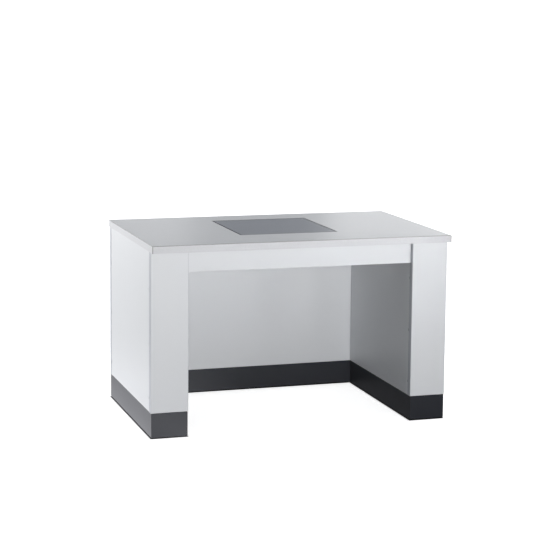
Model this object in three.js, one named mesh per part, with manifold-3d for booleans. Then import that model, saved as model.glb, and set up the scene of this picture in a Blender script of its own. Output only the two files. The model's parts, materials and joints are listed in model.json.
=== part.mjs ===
// A laboratory weighing table in millimetres, +Z up, front towards -Y, origin on the floor under its middle.
// Two structures stand in one another without touching. The casing is a steel-clad desk whose two hollow legs,
// back and apron carry a laminated worktop. The stand hides inside the legs and carries a stone slab on rubber
// buffers, so that knocks on the worktop don't reach the balance.
import * as THREE from "three";
import { mergeVertices } from "three/addons/utils/BufferGeometryUtils.js";
import Module from "manifold-3d";

// The whole table
const tableWidth = 1200;
const tableDepth = 750;
const tableHeight = 740;
const seatGap = 0.3; // between pieces that rest on or beside each other

// Worktop: a board between two laminates, with edge bands under the top laminate
const worktopThickness = 28;
const laminateThickness = 1;
const edgeBandThickness = 2;
const edgeBandRadius = 0.8;
const frontOverhang = 34;
const rearOverhang = 7;
const sideOverhang = 2;

// Cut-out in the worktop and the slab that stands free in it
const cutoutWidth = 400;
const cutoutDepth = 416;
const cutoutFrontShare = 0.60479; // of the depth left beside the cut-out, what lies in front of it
const cutoutBandThickness = 1.5;
const slabClearance = 5;
const slabThickness = 45;
const slabChamfer = 1.5;

// Folded steel panels of the legs, the back and the apron
const legWidth = 146;
const sheetThickness = 1.2;
const bendRadius = 2;
const pillarDepth = 28; // front and rear covers of a leg
const panelDepth = 20; // sides, cheeks and apron
const lipWidth = 12;
const backDepth = 14;
const apronHeight = 84;
const apronSetback = 20;

// Notches in the upright folds, where the panels hook on to one another
const notchWidth = 6;
const notchHeight = 11;
const notchDepth = 10;
const notchCount = 3;
const notchFirst = 153; // floor to the middle of the lowest notch
const notchPitch = 207;

// Plinth strips round the foot of the legs and the back
const plinthHeight = 98;
const plinthInset = 2;
const plinthDepth = 8;
const plinthFloorGap = 3;

// Tube frame of the casing
const casingTube = 25;
const casingWall = 2;
const casingTubeRadius = 3;
const casingFrameLift = 68; // floor to the underside of the frame
const casingRailLift = 15; // lower rail above the underside of the post
const rearRailInset = 20; // rear rail before the rear edge of the cheeks

// Tube frame of the stand
const standTube = 50;
const standWall = 3;
const standTubeRadius = 5;
const standFrameLift = 58;
const standClearance = 15; // stand leg to the folds of the cheek
const standFrontInset = 70; // stand post behind the front of the leg
const standRearInset = 53; // stand post before the rear of the leg
const standRailLift = 40; // lower rail above the underside of the post
const beamWidth = 60;
const beamHeight = 40;
const beamInset = 73; // middle of a beam inside the edge of the slab
const beamClearance = 8; // between a beam and the slot in the cheek
const railClearance = 3; // between a casing rail and its slot in the cheek
const footPlate = 5; // floor of a post, which the spindle is screwed into

// Slab tray with its rim folded down, felt mat and rubber buffers
const trayThickness = 3;
const trayRim = 12;
const trayInset = 3; // tray edge inside the edge of the slab
const matInset = 4; // mat edge inside the edge of the tray
const matThickness = 3;
const bufferRadius = 20;
const bufferWaist = 17;
const bufferPlate = 2;
const bufferWaistSteps = 4;
const bufferStudRadius = 4;
const bufferStudLength = 12;
const bufferInset = 50; // middle of a buffer inside the edge of the slab

// Feet
const casingPadRadius = 18;
const casingPadHeight = 12;
const casingPadRound = 2;
const casingPadShoulder = 9; // radius where the pad's slope meets the spindle
const casingSpindleRadius = 5;
const casingSpindleReach = 40; // above the underside of the frame
const casingHexSize = 17;
const casingHexHeight = 7;
const standSoleRadius = 30;
const standSoleHeight = 9;
const standSoleRecess = 4;
const standSoleRound = 2;
const standDiscRadius = 26;
const standDiscHeight = 6;
const standDiscRise = 2; // slope on top of the disc
const standSpindleRadius = 7;
const standSpindleReach = 45;
const standHexSize = 22;
const standHexHeight = 8;
const lockNutSize = 24;
const lockNutHeight = 9;
const spindlePoint = 1.5;
const threadClearance = 0.4;

// Facets: segments of a quarter bend, a quarter tube corner and a full turn
const bendSegments = 3;
const cornerSegments = 2;
const turnSegments = 24;
const cutOverrun = 2; // how far a cutter reaches past what it cuts
const mergeTolerance = 1e-4;

const wasm = await Module();
wasm.setup();

// Planes that the pieces share
const outerX = tableWidth / 2 - sideOverhang;
const innerX = outerX - legWidth;
const frontY = -tableDepth / 2 + frontOverhang;
const rearY = tableDepth / 2 - rearOverhang;
const underTop = tableHeight - worktopThickness;
const panelTop = underTop - seatGap;
const cheekFrontY = frontY + pillarDepth + seatGap;
const cheekRearY = rearY - pillarDepth - seatGap;
const backY = rearY - pillarDepth;
const cutoutFromFront = (tableDepth - cutoutDepth) * cutoutFrontShare;
const cutoutY = -tableDepth / 2 + cutoutFromFront + cutoutDepth / 2;
const slabWidth = cutoutWidth - 2 * slabClearance;
const slabDepth = cutoutDepth - 2 * slabClearance;
const apronY = frontY + apronSetback;
const apronBottom = underTop - apronHeight;

// Finishes
const finish = (color, roughness, metalness) =>
  new THREE.MeshStandardMaterial({ color, roughness, metalness });
const panelCoat = finish(0xe1e3e6, 0.45, 0.0);
const plinthCoat = finish(0x3b3e44, 0.5, 0.1);
const decorLaminate = finish(0xc6c7ca, 0.4, 0.0);
const backingLaminate = finish(0xd8d8d6, 0.6, 0.0);
const edgeBand = finish(0xdcdddf, 0.5, 0.0);
const boardCore = finish(0xb79a6e, 0.9, 0.0);
const slabStone = finish(0x858991, 0.35, 0.0);
const frameCoat = finish(0x777b80, 0.5, 0.3);
const zincSteel = finish(0xb9bcc0, 0.35, 0.9);
const trayZinc = finish(0xa9adb2, 0.45, 0.8);
const rubber = finish(0x1d1e20, 0.85, 0.0);
const felt = finish(0x4a4b4d, 0.95, 0.0);
const glidePlastic = finish(0x26272a, 0.6, 0.0);

// Solids and geometries
function toSolid(geometry) {
  const loose = geometry.index ? geometry.toNonIndexed() : geometry;
  const bare = new THREE.BufferGeometry();
  bare.setAttribute("position", loose.getAttribute("position").clone());
  const merged = mergeVertices(bare, mergeTolerance);
  return new wasm.Manifold(
    new wasm.Mesh({
      numProp: 3,
      vertProperties: merged.attributes.position.array,
      triVerts: new Uint32Array(merged.index.array),
    }),
  );
}

function toGeometry(solid) {
  const mesh = solid.getMesh();
  const geometry = new THREE.BufferGeometry();
  geometry.setAttribute("position", new THREE.BufferAttribute(Float32Array.from(mesh.vertProperties), 3));
  geometry.setIndex(new THREE.BufferAttribute(Uint32Array.from(mesh.triVerts), 1));
  geometry.computeVertexNormals();
  return geometry;
}

const join = (first, ...others) => others.reduce((all, one) => all.add(one), first);
const cut = (first, ...others) => others.reduce((all, one) => all.subtract(one), first);

function block(x0, x1, y0, y1, z0, z1) {
  const box = new THREE.BoxGeometry(x1 - x0, y1 - y0, z1 - z0);
  return toSolid(box.translate((x0 + x1) / 2, (y0 + y1) / 2, (z0 + z1) / 2));
}

// A rectangle about the origin with rounded corners
function roundedRectangle(width, height, radius) {
  const r = Math.min(radius, width / 2, height / 2);
  const right = width / 2 - r;
  const top = height / 2 - r;
  const shape = new THREE.Shape();
  shape.absarc(right, -top, r, -Math.PI / 2, 0);
  shape.absarc(right, top, r, 0, Math.PI / 2);
  shape.absarc(-right, top, r, Math.PI / 2, Math.PI);
  shape.absarc(-right, -top, r, Math.PI, 1.5 * Math.PI);
  shape.closePath();
  return shape;
}

function rectangle(width, height) {
  const shape = new THREE.Shape();
  shape.moveTo(-width / 2, -height / 2);
  shape.lineTo(width / 2, -height / 2);
  shape.lineTo(width / 2, height / 2);
  shape.lineTo(-width / 2, height / 2);
  shape.closePath();
  return shape;
}

function extrude(shape, depth, curveSegments = 1) {
  return new THREE.ExtrudeGeometry(shape, { depth, curveSegments, steps: 1, bevelEnabled: false });
}

// A bar of rounded section along an axis, between two points of that axis, about a centre line
function bar(axis, from, to, centre, section) {
  const length = to - from;
  if (axis === "x") {
    const shape = roundedRectangle(section.high, section.wide, section.radius);
    return toSolid(extrude(shape, length, cornerSegments).rotateY(Math.PI / 2).translate(from, centre[0], centre[1]));
  }
  const shape = roundedRectangle(section.wide, section.high, section.radius);
  const geometry = extrude(shape, length, cornerSegments);
  if (axis === "y") {
    return toSolid(geometry.rotateX(Math.PI / 2).translate(centre[0], to, centre[1]));
  }
  return toSolid(geometry.translate(centre[0], centre[1], from));
}

function disc(radius, from, to, x, y) {
  const cylinder = new THREE.CylinderGeometry(radius, radius, to - from, turnSegments);
  return toSolid(cylinder.rotateX(Math.PI / 2).translate(x, y, (from + to) / 2));
}

// A six-sided prism, size across its flats
function hexagon(size, from, to) {
  const prism = new THREE.CylinderGeometry(size / Math.sqrt(3), size / Math.sqrt(3), to - from, 6);
  return toSolid(prism.rotateX(Math.PI / 2).translate(0, 0, (from + to) / 2));
}

// A solid of revolution about Z from [radius, height] points that start and end on the axis
function turned(points) {
  const profile = points.map(([r, z]) => new THREE.Vector2(r, z));
  return toSolid(new THREE.LatheGeometry(profile, turnSegments).rotateX(Math.PI / 2));
}

// The outline of a folded panel seen along its fold: square at the back, bent at the front
function foldOutline(width, depth) {
  const half = width / 2;
  const shape = new THREE.Shape();
  shape.moveTo(-half, depth);
  shape.lineTo(-half, bendRadius);
  shape.absarc(-half + bendRadius, bendRadius, bendRadius, Math.PI, 1.5 * Math.PI);
  shape.absarc(half - bendRadius, bendRadius, bendRadius, 1.5 * Math.PI, 2 * Math.PI);
  shape.lineTo(half, depth);
  shape.closePath();
  return shape;
}

// A folded panel: face on y = 0 looking along -Y, four folds going back, and a lip round the back.
// It is centred on x = 0 and z = 0.
function foldedPanel(width, height, depth, lip, thickness = sheetThickness) {
  const upright = toSolid(extrude(foldOutline(width, depth), height, bendSegments).translate(0, 0, -height / 2));
  const lying = toSolid(
    extrude(foldOutline(height, depth), width, bendSegments).rotateY(-Math.PI / 2).translate(width / 2, 0, 0),
  );
  const hollow = block(
    -width / 2 + thickness,
    width / 2 - thickness,
    thickness,
    depth - thickness,
    -height / 2 + thickness,
    height / 2 - thickness,
  );
  const mouth = block(
    -width / 2 + lip,
    width / 2 - lip,
    thickness,
    depth + cutOverrun,
    -height / 2 + lip,
    height / 2 - lip,
  );
  return cut(upright.intersect(lying), hollow, mouth);
}

// A folded strip in section: face on x = 0 from 0 up, with a fold at its top and foot going to x = depth
function stripOutline(height, depth, thickness) {
  const shape = new THREE.Shape();
  shape.moveTo(depth, 0);
  shape.lineTo(depth, thickness);
  shape.lineTo(thickness, thickness);
  shape.lineTo(thickness, height - thickness);
  shape.lineTo(depth, height - thickness);
  shape.lineTo(depth, height);
  shape.absarc(bendRadius, height - bendRadius, bendRadius, Math.PI / 2, Math.PI);
  shape.absarc(bendRadius, bendRadius, bendRadius, Math.PI, 1.5 * Math.PI);
  shape.closePath();
  return shape;
}

// A strip section run along +X, with its depth along +Y. A slope of 1 mitres an outside corner, -1 an inside one.
function mitredRun(shape, length, startSlope, endSlope) {
  const geometry = extrude(shape, length, bendSegments);
  const position = geometry.getAttribute("position");
  for (let i = 0; i < position.count; i++) {
    const deep = position.getX(i);
    const along = position.getZ(i);
    const atStart = along < length / 2;
    position.setZ(i, atStart ? along + startSlope * deep : along - endSlope * deep);
  }
  const axes = new THREE.Matrix4().makeBasis(
    new THREE.Vector3(0, 1, 0),
    new THREE.Vector3(0, 0, 1),
    new THREE.Vector3(1, 0, 0),
  );
  return toSolid(geometry.applyMatrix4(axes));
}

const table = new THREE.Group();

function place(name, solid, material, x = 0, y = 0, z = 0, turn = 0) {
  const mesh = new THREE.Mesh(toGeometry(solid), material);
  mesh.name = name;
  mesh.position.set(x, y, z);
  mesh.rotation.z = turn;
  table.add(mesh);
  return mesh;
}

// A face that looks along -Y is turned by these to look the other ways
const facing = { front: 0, right: Math.PI / 2, rear: Math.PI, left: -Math.PI / 2 };
const sides = [
  { label: "left", sign: -1, outward: facing.left, inward: facing.right },
  { label: "right", sign: 1, outward: facing.right, inward: facing.left },
];

// Worktop
function plateWithCutout(width, depth, holeWidth, holeDepth, thickness) {
  const shape = rectangle(width, depth);
  const hole = rectangle(holeWidth, holeDepth);
  shape.holes.push(new THREE.Path(hole.getPoints().map((p) => new THREE.Vector2(p.x, p.y + cutoutY))));
  return toSolid(extrude(shape, thickness));
}

function edgeBandOutline(height) {
  const shape = new THREE.Shape();
  shape.moveTo(edgeBandThickness, 0);
  shape.lineTo(edgeBandThickness, height);
  shape.lineTo(0, height);
  shape.absarc(edgeBandRadius, edgeBandRadius, edgeBandRadius, Math.PI, 1.5 * Math.PI);
  shape.closePath();
  return shape;
}

function buildWorktop() {
  const coreWidth = tableWidth - 2 * (edgeBandThickness + seatGap);
  const coreDepth = tableDepth - 2 * (edgeBandThickness + seatGap);
  const coreBottom = underTop + laminateThickness + seatGap;
  const coreTop = tableHeight - laminateThickness - seatGap;
  const coreHoleWidth = cutoutWidth + 2 * (cutoutBandThickness + seatGap);
  const coreHoleDepth = cutoutDepth + 2 * (cutoutBandThickness + seatGap);
  place(
    "worktop_core",
    plateWithCutout(coreWidth, coreDepth, coreHoleWidth, coreHoleDepth, coreTop - coreBottom),
    boardCore,
    0,
    0,
    coreBottom,
  );
  place(
    "worktop_laminate",
    plateWithCutout(tableWidth, tableDepth, cutoutWidth, cutoutDepth, laminateThickness),
    decorLaminate,
    0,
    0,
    tableHeight - laminateThickness,
  );
  place(
    "worktop_backing",
    plateWithCutout(coreWidth, coreDepth, coreHoleWidth, coreHoleDepth, laminateThickness),
    backingLaminate,
    0,
    0,
    underTop,
  );
  const bandHeight = coreTop - underTop;
  const band = edgeBandOutline(bandHeight);
  const sideLength = tableDepth - 2 * (edgeBandThickness + seatGap);
  const long = mitredRun(band, tableWidth, 0, 0);
  const short = mitredRun(band, sideLength, 0, 0);
  place("edge_band_front", long, edgeBand, -tableWidth / 2, -tableDepth / 2, underTop, facing.front);
  place("edge_band_rear", long, edgeBand, tableWidth / 2, tableDepth / 2, underTop, facing.rear);
  place("edge_band_left", short, edgeBand, -tableWidth / 2, sideLength / 2, underTop, facing.left);
  place("edge_band_right", short, edgeBand, tableWidth / 2, -sideLength / 2, underTop, facing.right);
  const ring = rectangle(cutoutWidth + 2 * cutoutBandThickness, cutoutDepth + 2 * cutoutBandThickness);
  ring.holes.push(new THREE.Path(rectangle(cutoutWidth, cutoutDepth).getPoints()));
  place("cutout_band", toSolid(extrude(ring, bandHeight)), edgeBand, 0, cutoutY, underTop);
}

// Folded panels
const panelHeight = panelTop - plinthHeight;
const panelMiddle = (panelTop + plinthHeight) / 2;
const cheekLength = cheekRearY - cheekFrontY;
const cheekMiddleY = (cheekRearY + cheekFrontY) / 2;
const beamBottom = apronBottom + seatGap;
const bufferX = slabWidth / 2 - bufferInset;
const beamFrontY = cutoutY - slabDepth / 2 + beamInset;
const beamRearY = cutoutY + slabDepth / 2 - beamInset;
const casingRailBottom = panelTop - casingTube;
const frontRailY = apronY + panelDepth + seatGap + casingTube / 2;
const rearRailY = cheekRearY - rearRailInset - casingTube / 2;

// The side or cheek of a leg, with hook notches in both upright folds
function legPanel() {
  const panel = foldedPanel(cheekLength, panelHeight, panelDepth, lipWidth);
  const notches = [-1, 1].flatMap((end) =>
    Array.from({ length: notchCount }, (_, i) => {
      const edge = (end * cheekLength) / 2;
      const low = notchFirst + i * notchPitch - notchHeight / 2 - panelMiddle;
      return block(edge - notchWidth, edge + notchWidth, -cutOverrun, notchDepth, low, low + notchHeight);
    }),
  );
  return cut(panel, ...notches);
}

// Slots that let the beams and rails through a cheek from above
function cheekPanel(mirror) {
  const slot = (y, width, clearance, bottom) => {
    const middle = mirror * (y - cheekMiddleY);
    const half = width / 2 + clearance;
    const low = bottom - clearance - panelMiddle;
    return block(middle - half, middle + half, -cutOverrun, panelDepth + cutOverrun, low, panelHeight);
  };
  return cut(
    legPanel(),
    slot(beamFrontY, beamWidth, beamClearance, beamBottom),
    slot(beamRearY, beamWidth, beamClearance, beamBottom),
    slot(frontRailY, casingTube, railClearance, casingRailBottom),
    slot(rearRailY, casingTube, railClearance, casingRailBottom),
  );
}

function buildPanels() {
  const pillar = foldedPanel(legWidth, panelHeight, pillarDepth, lipWidth);
  for (const { label, sign, outward, inward } of sides) {
    const legX = sign * (innerX + legWidth / 2);
    place("front_pillar_" + label, pillar, panelCoat, legX, frontY, panelMiddle, facing.front);
    place("rear_pillar_" + label, pillar, panelCoat, legX, rearY, panelMiddle, facing.rear);
    place("side_panel_" + label, legPanel(), panelCoat, sign * outerX, cheekMiddleY, panelMiddle, outward);
    place("cheek_panel_" + label, cheekPanel(-sign), panelCoat, sign * innerX, cheekMiddleY, panelMiddle, inward);
  }
  const backWidth = 2 * (innerX - seatGap);
  const coverDepth = pillarDepth - backDepth - seatGap;
  place(
    "back_panel",
    foldedPanel(backWidth, panelHeight, backDepth, lipWidth),
    panelCoat,
    0,
    backY,
    panelMiddle,
    facing.front,
  );
  place(
    "rear_cover",
    foldedPanel(backWidth, panelHeight, coverDepth, lipWidth),
    panelCoat,
    0,
    rearY,
    panelMiddle,
    facing.rear,
  );
  const apron = foldedPanel(backWidth, panelTop - apronBottom, panelDepth, lipWidth);
  place("apron", apron, panelCoat, 0, apronY, (panelTop + apronBottom) / 2, facing.front);
}

// Plinth strips, mitred where they meet
function buildPlinth() {
  const height = plinthHeight - seatGap - plinthFloorGap;
  const section = stripOutline(height, plinthDepth, sheetThickness);
  const left = -outerX + plinthInset;
  const right = outerX - plinthInset;
  const leftCheek = -innerX - plinthInset;
  const rightCheek = innerX + plinthInset;
  const front = frontY + plinthInset;
  const rear = rearY - plinthInset;
  const back = backY + plinthInset;
  const outside = 1;
  const inside = -1;
  const runs = [
    ["plinth_front_left", [left, front], [leftCheek, front], facing.front, outside, outside],
    ["plinth_cheek_left", [leftCheek, front], [leftCheek, back], facing.right, outside, inside],
    ["plinth_back", [leftCheek, back], [rightCheek, back], facing.front, inside, inside],
    ["plinth_cheek_right", [rightCheek, back], [rightCheek, front], facing.left, inside, outside],
    ["plinth_front_right", [rightCheek, front], [right, front], facing.front, outside, outside],
    ["plinth_side_right", [right, front], [right, rear], facing.right, outside, outside],
    ["plinth_rear", [right, rear], [left, rear], facing.rear, outside, outside],
    ["plinth_side_left", [left, rear], [left, front], facing.left, outside, outside],
  ];
  for (const [name, start, end, turn, startCorner, endCorner] of runs) {
    const from = new THREE.Vector2(...start);
    const run = new THREE.Vector2(...end).sub(from);
    const length = run.length() - 2 * seatGap;
    const begin = run.normalize().multiplyScalar(seatGap).add(from);
    const strip = mitredRun(section, length, startCorner, endCorner);
    place(name, strip, plinthCoat, begin.x, begin.y, plinthFloorGap, turn);
  }
}

// The section of a square tube and of the space inside it
function squareTube(tube, wall, radius) {
  const bore = tube - 2 * wall;
  return {
    wall,
    section: { wide: tube, high: tube, radius },
    bore: { wide: bore, high: bore, radius: radius - wall },
  };
}

// A welded frame of square tube in the YZ plane: two posts and the rails between them, each by the height of its
// middle. Its hollow is one space, open at the spindle holes in the posts' floors.
function tubeFrame({ tube, x, posts, low, high, rails, spindleRadius }) {
  const hole = spindleRadius + threadClearance;
  const outer = join(
    ...posts.map((y) => bar("z", low, high, [x, y], tube.section)),
    ...rails.map((z) => bar("y", ...posts, [x, z], tube.section)),
  );
  const hollow = join(
    ...posts.map((y) => bar("z", low + footPlate, high - tube.wall, [x, y], tube.bore)),
    ...rails.map((z) => bar("y", ...posts, [x, z], tube.bore)),
    ...posts.map((y) => disc(hole, low - cutOverrun, low + footPlate + cutOverrun, x, y)),
  );
  return cut(outer, hollow);
}

// Casing frame: a welded U of tube in each leg, closed at the top by a rail that is bolted in, and two long rails
// under the worktop that tie the legs together
const casingFrameX = outerX - panelDepth - seatGap - casingTube / 2;
const casingFrontPost = cheekFrontY + casingTube / 2;
const casingRearPost = cheekRearY - casingTube / 2;

function buildCasingFrame() {
  const tube = squareTube(casingTube, casingWall, casingTubeRadius);
  const postFace = casingTube / 2 + seatGap;
  const topRailStart = casingFrontPost + postFace;
  const topRailEnd = casingRearPost - postFace;
  for (const { label, sign } of sides) {
    const x = sign * casingFrameX;
    const frame = tubeFrame({
      tube,
      x,
      posts: [casingFrontPost, casingRearPost],
      low: casingFrameLift,
      high: panelTop,
      rails: [casingFrameLift + casingRailLift + casingTube / 2],
      spindleRadius: casingSpindleRadius,
    });
    place("casing_frame_" + label, frame, frameCoat);
    const centre = [x, casingRailBottom + casingTube / 2];
    const topRail = cut(
      bar("y", topRailStart, topRailEnd, centre, tube.section),
      bar("y", topRailStart - cutOverrun, topRailEnd + cutOverrun, centre, tube.bore),
    );
    place("casing_top_rail_" + label, topRail, frameCoat);
  }
  const railEnd = casingFrameX - casingTube / 2 - seatGap;
  for (const [end, y] of [["front", frontRailY], ["rear", rearRailY]]) {
    const centre = [y, casingRailBottom + casingTube / 2];
    const rail = cut(
      bar("x", -railEnd, railEnd, centre, tube.section),
      bar("x", -railEnd - cutOverrun, railEnd + cutOverrun, centre, tube.bore),
    );
    place("casing_rail_" + end, rail, frameCoat);
  }
}

// Stand: a heavier tube frame in each leg and two beams that run under the slab
const standX = innerX + panelDepth + standClearance + standTube / 2;
const standFrontPost = frontY + standFrontInset + standTube / 2;
const standRearPost = rearY - standRearInset - standTube / 2;

function buildStand() {
  const tube = squareTube(standTube, standWall, standTubeRadius);
  const high = beamBottom - seatGap;
  for (const { label, sign } of sides) {
    const frame = tubeFrame({
      tube,
      x: sign * standX,
      posts: [standFrontPost, standRearPost],
      low: standFrameLift,
      high,
      rails: [standFrameLift + standRailLift + standTube / 2, high - standTube / 2],
      spindleRadius: standSpindleRadius,
    });
    place("stand_frame_" + label, frame, frameCoat);
  }
  const beamEnd = standX + standTube / 2;
  const beamMiddle = beamBottom + beamHeight / 2;
  const beamTop = beamBottom + beamHeight;
  const section = { wide: beamWidth, high: beamHeight, radius: standTubeRadius };
  const bore = {
    wide: beamWidth - 2 * standWall,
    high: beamHeight - 2 * standWall,
    radius: standTubeRadius - standWall,
  };
  const hole = bufferStudRadius + threadClearance;
  for (const [end, y] of [["front", beamFrontY], ["rear", beamRearY]]) {
    const beam = cut(
      bar("x", -beamEnd, beamEnd, [y, beamMiddle], section),
      bar("x", -beamEnd - cutOverrun, beamEnd + cutOverrun, [y, beamMiddle], bore),
      ...sides.map(({ sign }) => disc(hole, beamMiddle, beamTop + cutOverrun, sign * bufferX, y)),
    );
    place("stand_beam_" + end, beam, frameCoat);
  }
}

// Slab on its mat and tray, with rubber buffers between the tray and the beams
function bufferProfile(height) {
  const rubberHeight = height - 2 * bufferPlate;
  const waist = Array.from({ length: bufferWaistSteps + 1 }, (_, i) => {
    const share = i / bufferWaistSteps;
    const radius = bufferRadius - (bufferRadius - bufferWaist) * Math.sin(Math.PI * share);
    return [radius, bufferPlate + rubberHeight * share];
  });
  return [
    [0, -bufferStudLength],
    [bufferStudRadius, -bufferStudLength],
    [bufferStudRadius, 0],
    [bufferRadius, 0],
    ...waist,
    [bufferRadius, height],
    [0, height],
  ];
}

function buildSlab() {
  const slabBottom = tableHeight - slabThickness;
  const slabShape = rectangle(slabWidth - 2 * slabChamfer, slabDepth - 2 * slabChamfer);
  const slab = new THREE.ExtrudeGeometry(slabShape, {
    depth: slabThickness - 2 * slabChamfer,
    bevelEnabled: true,
    bevelThickness: slabChamfer,
    bevelSize: slabChamfer,
    bevelSegments: 1,
  }).translate(0, 0, slabChamfer);
  place("weighing_slab", toSolid(slab), slabStone, 0, cutoutY, slabBottom);

  const trayWidth = slabWidth - 2 * trayInset;
  const trayDepth = slabDepth - 2 * trayInset;
  const matShape = rectangle(trayWidth - 2 * matInset, trayDepth - 2 * matInset);
  const matBottom = slabBottom - seatGap - matThickness;
  place("slab_mat", toSolid(extrude(matShape, matThickness)), felt, 0, cutoutY, matBottom);

  const trayTop = matBottom - seatGap;
  const pan = foldedPanel(trayWidth, trayDepth, trayRim, trayThickness, trayThickness);
  const tray = place("slab_tray", pan, trayZinc, 0, cutoutY, trayTop);
  tray.rotation.x = -Math.PI / 2;

  const bufferBottom = beamBottom + beamHeight + seatGap;
  const bufferTop = trayTop - trayThickness - seatGap;
  const buffer = turned(bufferProfile(bufferTop - bufferBottom));
  for (const [end, y] of [["front", beamFrontY], ["rear", beamRearY]]) {
    for (const { label, sign } of sides) {
      place("buffer_" + end + "_" + label, buffer, rubber, sign * bufferX, y, bufferBottom);
    }
  }
}

// Feet: a moulded glide under each casing post, and a soled machine foot with a lock nut under each stand post
function casingFoot() {
  const top = casingFrameLift + casingSpindleReach;
  const glide = turned([
    [0, 0],
    [casingPadRadius - casingPadRound, 0],
    [casingPadRadius, casingPadRound],
    [casingPadRadius, casingPadHeight / 2],
    [casingPadShoulder, casingPadHeight],
    [casingSpindleRadius, casingPadHeight],
    [casingSpindleRadius, top - spindlePoint],
    [casingSpindleRadius - spindlePoint, top],
    [0, top],
  ]);
  return join(glide, hexagon(casingHexSize, casingPadHeight / 2, casingPadHeight + casingHexHeight));
}

function standSole() {
  const floor = standSoleHeight - standSoleRecess;
  const recess = standDiscRadius + seatGap;
  return turned([
    [0, 0],
    [standSoleRadius - standSoleRound, 0],
    [standSoleRadius, standSoleRound],
    [standSoleRadius, standSoleHeight - standSoleRound],
    [standSoleRadius - standSoleRound, standSoleHeight],
    [recess, standSoleHeight],
    [recess, floor],
    [0, floor],
  ]);
}

function standSpindle() {
  const discBottom = standSoleHeight - standSoleRecess + seatGap;
  const discTop = discBottom + standDiscHeight;
  const discRim = discTop - standDiscRise;
  const top = standFrameLift + standSpindleReach;
  const spindle = turned([
    [0, discBottom],
    [standDiscRadius, discBottom],
    [standDiscRadius, discRim],
    [standHexSize / 2, discTop],
    [standSpindleRadius, discTop],
    [standSpindleRadius, top - spindlePoint],
    [standSpindleRadius - spindlePoint, top],
    [0, top],
  ]);
  return join(spindle, hexagon(standHexSize, discRim, discTop + standHexHeight));
}

function buildFeet() {
  const nutTop = standFrameLift - seatGap;
  const nut = cut(
    hexagon(lockNutSize, nutTop - lockNutHeight, nutTop),
    disc(standSpindleRadius + threadClearance, nutTop - lockNutHeight - cutOverrun, nutTop + cutOverrun, 0, 0),
  );
  for (const { label, sign } of sides) {
    for (const [end, casingY, standY] of [
      ["front", casingFrontPost, standFrontPost],
      ["rear", casingRearPost, standRearPost],
    ]) {
      const corner = end + "_" + label;
      place("casing_foot_" + corner, casingFoot(), glidePlastic, sign * casingFrameX, casingY);
      place("stand_sole_" + corner, standSole(), rubber, sign * standX, standY);
      place("stand_spindle_" + corner, standSpindle(), zincSteel, sign * standX, standY);
      place("stand_lock_nut_" + corner, nut, zincSteel, sign * standX, standY);
    }
  }
}

buildWorktop();
buildPanels();
buildPlinth();
buildCasingFrame();
buildStand();
buildSlab();
buildFeet();

export default table;
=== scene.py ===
# %% [markdown]
# # Dressing a laboratory weighing table
# A weighing table is two tables in one. The casing is a desk clad in folded sheet steel, and a stone
# slab for a balance stands in a cut-out of its worktop, on a heavy frame of its own, so that nobody's
# elbow shakes the balance. The solids of all these pieces come ready from CAD. This lesson gives them
# their finishes, makes the small round and threaded pieces again with a finer surface, and sets up the
# studio and the camera.

# %% Load the solids
import json
from math import cos, sin, pi, radians

import bpy
from mathutils import Matrix, Vector


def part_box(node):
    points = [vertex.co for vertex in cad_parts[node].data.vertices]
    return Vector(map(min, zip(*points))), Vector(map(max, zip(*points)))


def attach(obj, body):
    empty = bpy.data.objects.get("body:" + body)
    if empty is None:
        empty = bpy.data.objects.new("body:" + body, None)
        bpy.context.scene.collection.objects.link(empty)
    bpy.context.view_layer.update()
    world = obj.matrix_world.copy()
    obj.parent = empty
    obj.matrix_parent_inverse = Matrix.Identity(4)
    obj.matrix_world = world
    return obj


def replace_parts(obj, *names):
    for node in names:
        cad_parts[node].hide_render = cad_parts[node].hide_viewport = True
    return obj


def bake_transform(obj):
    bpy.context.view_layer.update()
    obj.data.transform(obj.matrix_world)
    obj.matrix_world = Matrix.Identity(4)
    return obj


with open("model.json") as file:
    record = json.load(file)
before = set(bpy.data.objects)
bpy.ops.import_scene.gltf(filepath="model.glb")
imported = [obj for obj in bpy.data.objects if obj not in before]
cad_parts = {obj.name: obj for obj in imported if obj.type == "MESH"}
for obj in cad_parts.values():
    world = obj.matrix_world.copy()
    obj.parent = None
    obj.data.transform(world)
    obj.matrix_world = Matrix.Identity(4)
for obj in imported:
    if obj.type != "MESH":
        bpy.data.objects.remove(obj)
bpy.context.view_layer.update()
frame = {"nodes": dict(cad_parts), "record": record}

for plain in bpy.data.materials:
    plain.name = "plain_" + plain.name  # leaves the finishes' own names free

# %% [markdown]
# ## The camera
# The photograph looks down on the table by seven and a half degrees, from well to the left of its middle
# and from almost seven metres away, through a long lens. Such a lens keeps the upright edges nearly
# parallel. We could aim the camera with a constraint, but building its three axes from the angles shows
# what each angle does, and keeps the small roll that a camera on a tripod often has. The lens is shifted
# a little instead of being tilted further down, which is how a product photographer keeps upright edges
# upright.

# %% Camera
AZIMUTH, ELEVATION, ROLL = -0.30724, 0.13207, 0.00923  # radians
EYE = Vector((-2.09724, -6.48197, 1.70254))
FOCAL_PIXELS, IMAGE_PIXELS = 1717.7, 533
AXIS_ROW = 213  # the row of the photograph that the lens's axis meets
SENSOR_MM = 36
FARTHEST = 200  # metres, well past the far corners of the floor

forward = Vector((-sin(AZIMUTH) * cos(ELEVATION), cos(AZIMUTH) * cos(ELEVATION), -sin(ELEVATION)))
level = forward.cross(Vector((0, 0, 1))).normalized()
upright = level.cross(forward)
right = level * cos(ROLL) + upright * sin(ROLL)
up = upright * cos(ROLL) - level * sin(ROLL)

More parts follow.
